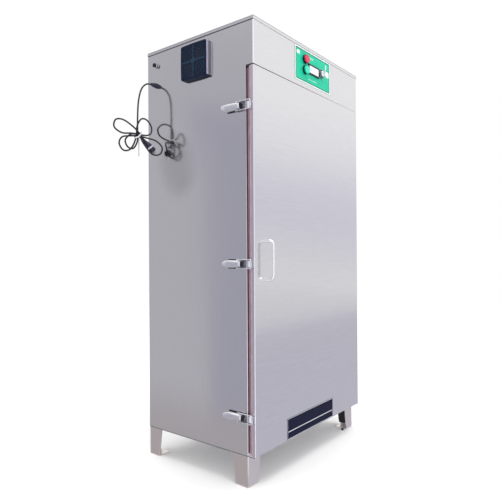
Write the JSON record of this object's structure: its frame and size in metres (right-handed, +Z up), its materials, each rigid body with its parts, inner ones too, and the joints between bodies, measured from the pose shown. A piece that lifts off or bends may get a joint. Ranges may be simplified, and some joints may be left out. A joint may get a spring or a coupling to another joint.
{
  "type": "hot air sterilizing cabinet",
  "caption": "Tall free-standing stainless cabinet on legs with a side-hinged insulated door, draw latches, bar handle, control fascia, side fan and coiled mains cord.",
  "frame": {"origin": "on the floor at the centre of the four foot holes, which is also the centre of the carcass behind the door", "axes": "+X to the right seen from the front, the door and controls face -Y, +Z up"},
  "size_m": [0.9046, 0.5362, 1.5],
  "materials": {
    "casing_steel": "satin",
    "inner_sheet": "satin",
    "chamber_steel": "bright satin",
    "shelf_steel": "satin",
    "mineral_wool": "matt",
    "leg_steel": "satin",
    "fan_plastic": "fine matt",
    "filter_mat": "matt",
    "control_film": "satin",
    "black_plastic": "satin",
    "red_plastic": "gloss",
    "green_plastic": "gloss",
    "screen": "clear",
    "knob_metal": "satin",
    "cord_pvc": "satin",
    "tie_nylon": "satin",
    "heater_sheath": "heat-dulled",
    "motor_body": "satin",
    "wheel_aluminium": "satin",
    "hinge_steel": "satin",
    "latch_steel": "bright",
    "screw_steel": "satin",
    "door_steel": "satin",
    "gasket_silicone": "satin",
    "handle_steel": "bright"
  },
  "bodies": {
    "cabinet": {"left_side_panel": "casing_steel", "right_side_panel": "casing_steel", "back_panel": "casing_steel", "roof_cover": "casing_steel", "bottom_panel": "inner_sheet", "fascia_panel": "casing_steel", "front_frame": "casing_steel", "machine_deck": "inner_sheet", "liner_sides": "chamber_steel", "liner_back": "chamber_steel", "liner_ceiling": "chamber_steel", "liner_floor": "chamber_steel", "insulation": "mineral_wool", "legs": "leg_steel", "fan_guard": "fan_plastic", "fan_filter": "filter_mat", "fan_housing": "fan_plastic", "control_plate": "control_film", "button_bezels": "black_plastic", "display_bezel": "black_plastic", "display_window": "screen", "selector_bezel": "knob_metal", "control_module": "black_plastic", "fuse_holder": "black_plastic", "cord_gland": "black_plastic", "power_cord": "cord_pvc", "cable_tie": "tie_nylon", "power_plug": "cord_pvc", "upper_shelf": "shelf_steel", "middle_shelf": "shelf_steel", "lower_shelf": "shelf_steel", "shelf_rails": "chamber_steel", "heater_elements": "heater_sheath", "heater_cover": "chamber_steel", "air_baffle": "chamber_steel", "temperature_probe": "heater_sheath", "circulation_motor": "motor_body", "hinge_body_leaves": "hinge_steel", "hinge_pins": "hinge_steel", "latch_bases": "latch_steel", "cabinet_screws": "screw_steel"},
    "fan_rotor": {"fan_rotor": "fan_plastic"},
    "circulation_wheel": {"circulation_wheel": "wheel_aluminium"},
    "red_button": {"red_button": "red_plastic"},
    "green_button": {"green_button": "green_plastic"},
    "selector_knob": {"selector_knob": "knob_metal"},
    "door": {"door_skin": "door_steel", "door_liner": "door_steel", "door_insulation": "mineral_wool", "door_gasket": "gasket_silicone", "door_handle": "handle_steel", "hinge_door_leaves": "hinge_steel", "latch_keepers": "latch_steel", "door_screws": "screw_steel"},
    "latch_lever_top": {"latch_lever_top": "latch_steel"},
    "latch_bail_top": {"latch_bail_top": "latch_steel"},
    "latch_lever_middle": {"latch_lever_middle": "latch_steel"},
    "latch_bail_middle": {"latch_bail_middle": "latch_steel"},
    "latch_lever_bottom": {"latch_lever_bottom": "latch_steel"},
    "latch_bail_bottom": {"latch_bail_bottom": "latch_steel"}
  },
  "joints": [
    {"name": "door_swing", "type": "hinge", "parent": "cabinet", "child": "door", "pos_m": [0.366, -0.2415, 0.7245], "axis": [0, 0, 1], "range_deg": [0, 180]},
    {"name": "cooling_fan_spin", "type": "hinge", "parent": "cabinet", "child": "fan_rotor", "pos_m": [-0.34, -0.018, 1.41], "axis": [1, 0, 0], "continuous": true},
    {"name": "circulation_wheel_spin", "type": "hinge", "parent": "cabinet", "child": "circulation_wheel", "pos_m": [0.06, 0.03, 1.28], "axis": [0, 0, 1], "continuous": true},
    {"name": "red_button_press", "type": "slide", "parent": "cabinet", "child": "red_button", "axis": [0, 1, 0], "range_m": [0, 0.004], "stiffness_N_per_m": 200, "springref_m": -0.001},
    {"name": "green_button_press", "type": "slide", "parent": "cabinet", "child": "green_button", "axis": [0, 1, 0], "range_m": [0, 0.004], "stiffness_N_per_m": 200, "springref_m": -0.001},
    {"name": "selector_turn", "type": "hinge", "parent": "cabinet", "child": "selector_knob", "pos_m": [0.062, -0.265, 1.4275], "axis": [0, 1, 0], "range_deg": [0, 270]},
    {"name": "latch_top_lever", "type": "hinge", "parent": "cabinet", "child": "latch_lever_top", "pos_m": [-0.369, -0.211, 1.22], "axis": [0, 0, 1], "range_deg": [0, 150]},
    {"name": "latch_top_bail", "type": "hinge", "parent": "latch_lever_top", "child": "latch_bail_top", "pos_m": [-0.3678, -0.199, 1.22], "axis": [0, 0, 1], "range_deg": [-195, 0]},
    {"name": "latch_middle_lever", "type": "hinge", "parent": "cabinet", "child": "latch_lever_middle", "pos_m": [-0.369, -0.211, 0.713], "axis": [0, 0, 1], "range_deg": [0, 150]},
    {"name": "latch_middle_bail", "type": "hinge", "parent": "latch_lever_middle", "child": "latch_bail_middle", "pos_m": [-0.3678, -0.199, 0.713], "axis": [0, 0, 1], "range_deg": [-195, 0]},
    {"name": "latch_bottom_lever", "type": "hinge", "parent": "cabinet", "child": "latch_lever_bottom", "pos_m": [-0.369, -0.211, 0.221], "axis": [0, 0, 1], "range_deg": [0, 150]},
    {"name": "latch_bottom_bail", "type": "hinge", "parent": "latch_lever_bottom", "child": "latch_bail_bottom", "pos_m": [-0.3678, -0.199, 0.221], "axis": [0, 0, 1], "range_deg": [-195, 0]}
  ],
  "couplings": [
    {"joint": "latch_top_bail", "follows": "latch_top_lever", "ratio": -1.3},
    {"joint": "latch_middle_bail", "follows": "latch_middle_lever", "ratio": -1.3},
    {"joint": "latch_bottom_bail", "follows": "latch_bottom_lever", "ratio": -1.3}
  ]
}
